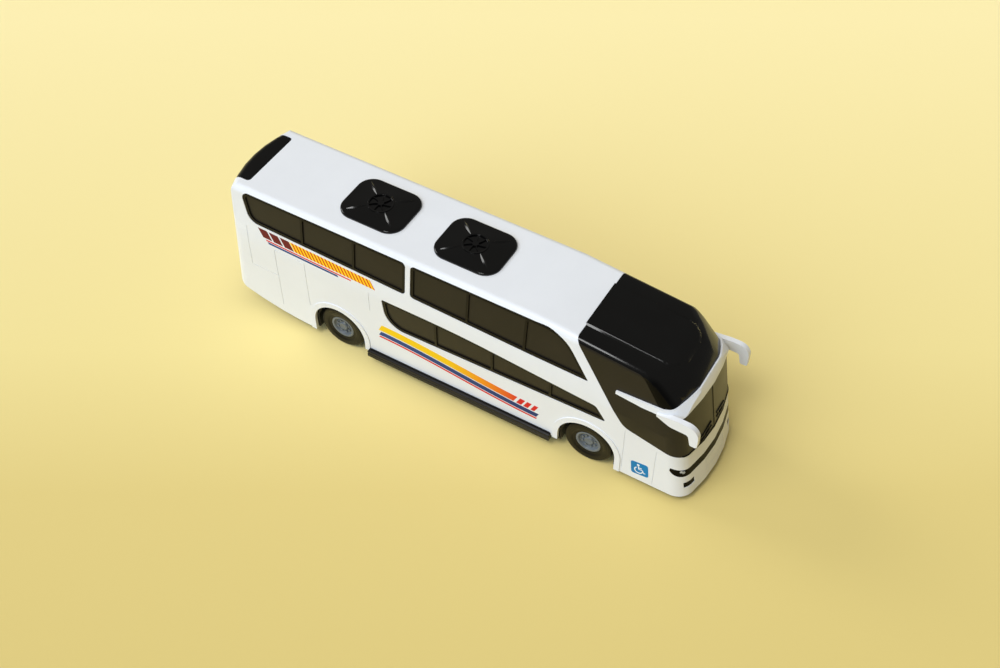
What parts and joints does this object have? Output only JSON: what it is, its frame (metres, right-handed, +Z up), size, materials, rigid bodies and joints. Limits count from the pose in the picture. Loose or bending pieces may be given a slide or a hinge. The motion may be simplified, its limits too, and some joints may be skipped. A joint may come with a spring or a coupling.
{
  "type": "toy coach bus",
  "caption": "Free-rolling toy touring coach with a hollow moulded body, smoked wraparound glazing, gloss black front cap, visor with mirror arms, roof hatches and steel axles.",
  "frame": {"origin": "on the ground, at the middle of the overall length and width", "axes": "+X towards the front, +Y towards the left side, +Z up"},
  "size_m": [0.4235, 0.0942, 0.1354],
  "materials": {
    "white_plastic": "gloss white moulding",
    "black_plastic": "gloss black moulding",
    "smoked_plastic": "satin brown smoked moulding",
    "base_plastic": "matte dark grey moulding",
    "tyre_rubber": "matte soft tyre",
    "hub_plastic": "satin blue-grey moulding",
    "steel": "bright drawn wire and plated screws"
  },
  "bodies": {
    "body": {"body_shell": "white_plastic", "front_cap": "black_plastic", "windscreen": "smoked_plastic", "visor_band": "white_plastic", "headlight_strip": "black_plastic", "fog_lamp_right": "black_plastic", "fog_lamp_left": "black_plastic", "rear_window": "black_plastic", "roof_hatch_rear": "black_plastic", "roof_hatch_front": "black_plastic", "upper_rear_frame_right": "black_plastic", "upper_rear_glazing_right": "smoked_plastic", "upper_front_frame_right": "black_plastic", "upper_front_glazing_right": "smoked_plastic", "lower_frame_right": "black_plastic", "lower_glazing_right": "smoked_plastic", "upper_rear_frame_left": "black_plastic", "upper_rear_glazing_left": "smoked_plastic", "upper_front_frame_left": "black_plastic", "upper_front_glazing_left": "smoked_plastic", "lower_frame_left": "black_plastic", "lower_glazing_left": "smoked_plastic", "base": "base_plastic", "base_screws": "steel"},
    "front_wheelset": {"front_axle": "steel", "front_hub_right": "hub_plastic", "front_hub_left": "hub_plastic", "front_tyre_right": "tyre_rubber", "front_tyre_left": "tyre_rubber"},
    "rear_wheelset": {"rear_axle": "steel", "rear_hub_right": "hub_plastic", "rear_hub_left": "hub_plastic", "rear_tyre_right": "tyre_rubber", "rear_tyre_left": "tyre_rubber"}
  },
  "joints": [
    {"name": "front_axle_spin", "type": "hinge", "parent": "body", "child": "front_wheelset", "pos_m": [0.1232, 0, 0.0202], "axis": [0, 1, 0], "continuous": true},
    {"name": "rear_axle_spin", "type": "hinge", "parent": "body", "child": "rear_wheelset", "pos_m": [-0.1008, 0, 0.0202], "axis": [0, 1, 0], "continuous": true}
  ]
}
